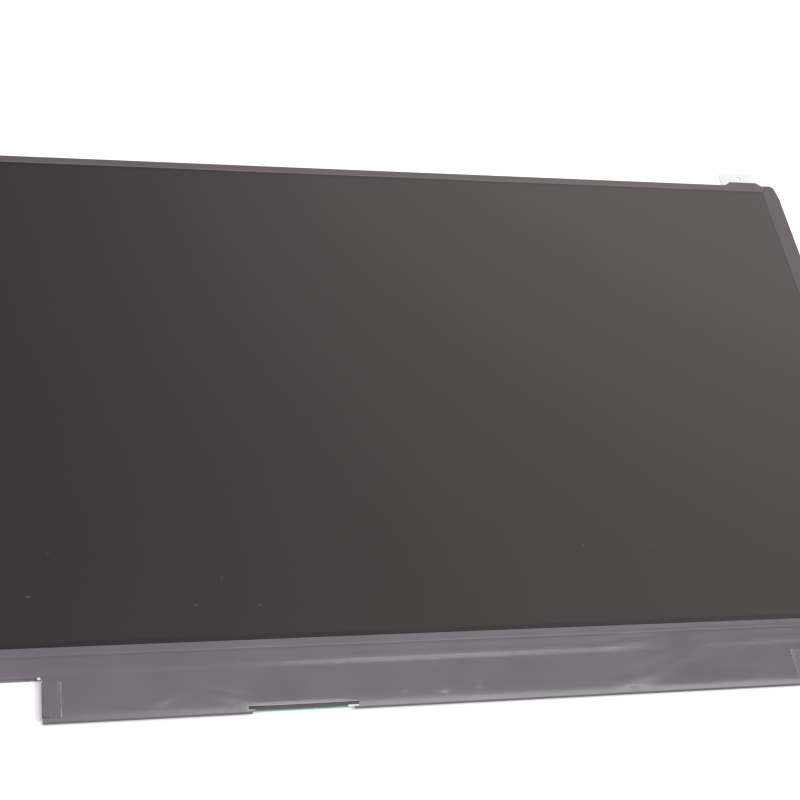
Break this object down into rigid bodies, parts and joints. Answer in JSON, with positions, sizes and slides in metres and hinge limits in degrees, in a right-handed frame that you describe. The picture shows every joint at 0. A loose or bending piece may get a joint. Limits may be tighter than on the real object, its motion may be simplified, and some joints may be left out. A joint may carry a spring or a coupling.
{
  "type": "laptop screen panel",
  "caption": "Flat liquid crystal screen panel for a laptop, with a matte display face, taped rim, screw ears and a control board in a film-covered flap along its lower edge.",
  "frame": {"origin": "middle of the display's active area, on the plane of the panel's back", "axes": "+X along the long side, +Y to the display's top edge, +Z out of the display"},
  "size_m": [0.3594, 0.233, 0.003],
  "materials": {
    "plate_metal": "satin rolled sheet",
    "frame_plastic": "fine moulded",
    "reflector_white": "smooth white",
    "clear_sheet": "polished clear",
    "diffuse_sheet": "frosted",
    "flex_circuit": "smooth",
    "lamp_body": "moulded",
    "foam_tape": "matt foam",
    "polarizer_dark": "smooth",
    "cell_glass": "polished",
    "display_face": "anti-glare",
    "cover_film": "satin film",
    "end_tape": "satin film",
    "edge_tape": "satin film",
    "clear_film": "clear film",
    "board_green": "solder mask",
    "chip_black": "moulded",
    "coil_grey": "pressed ferrite",
    "capacitor_tan": "fired",
    "socket_plastic": "moulded",
    "socket_metal": "plated",
    "contact_metal": "plated"
  },
  "bodies": {
    "root": {"back_plate": "plate_metal", "moulded_frame": "frame_plastic", "reflector_sheet": "reflector_white", "light_guide": "clear_sheet", "diffuser_sheet": "diffuse_sheet", "lower_prism_sheet": "clear_sheet", "upper_prism_sheet": "clear_sheet", "led_strip": "flex_circuit", "leds": "lamp_body", "cell_foam_tape": "foam_tape", "rear_polarizer": "polarizer_dark", "tft_glass": "cell_glass", "colour_filter_glass": "cell_glass", "front_polarizer": "display_face", "control_board": "board_green", "driver_films": "flex_circuit", "driver_chips": "chip_black", "board_cover_film": "cover_film", "left_end_tape": "end_tape", "right_end_tape": "end_tape", "left_edge_tape": "edge_tape", "right_edge_tape": "edge_tape", "top_edge_tape": "edge_tape", "socket_housing": "socket_plastic", "socket_shell": "socket_metal", "socket_contacts": "contact_metal", "backlight_socket": "socket_plastic", "timing_controller": "chip_black", "backlight_driver": "chip_black", "power_coil": "coil_grey", "board_capacitors": "capacitor_tan", "board_back_film": "clear_film"}
  },
  "joints": []
}
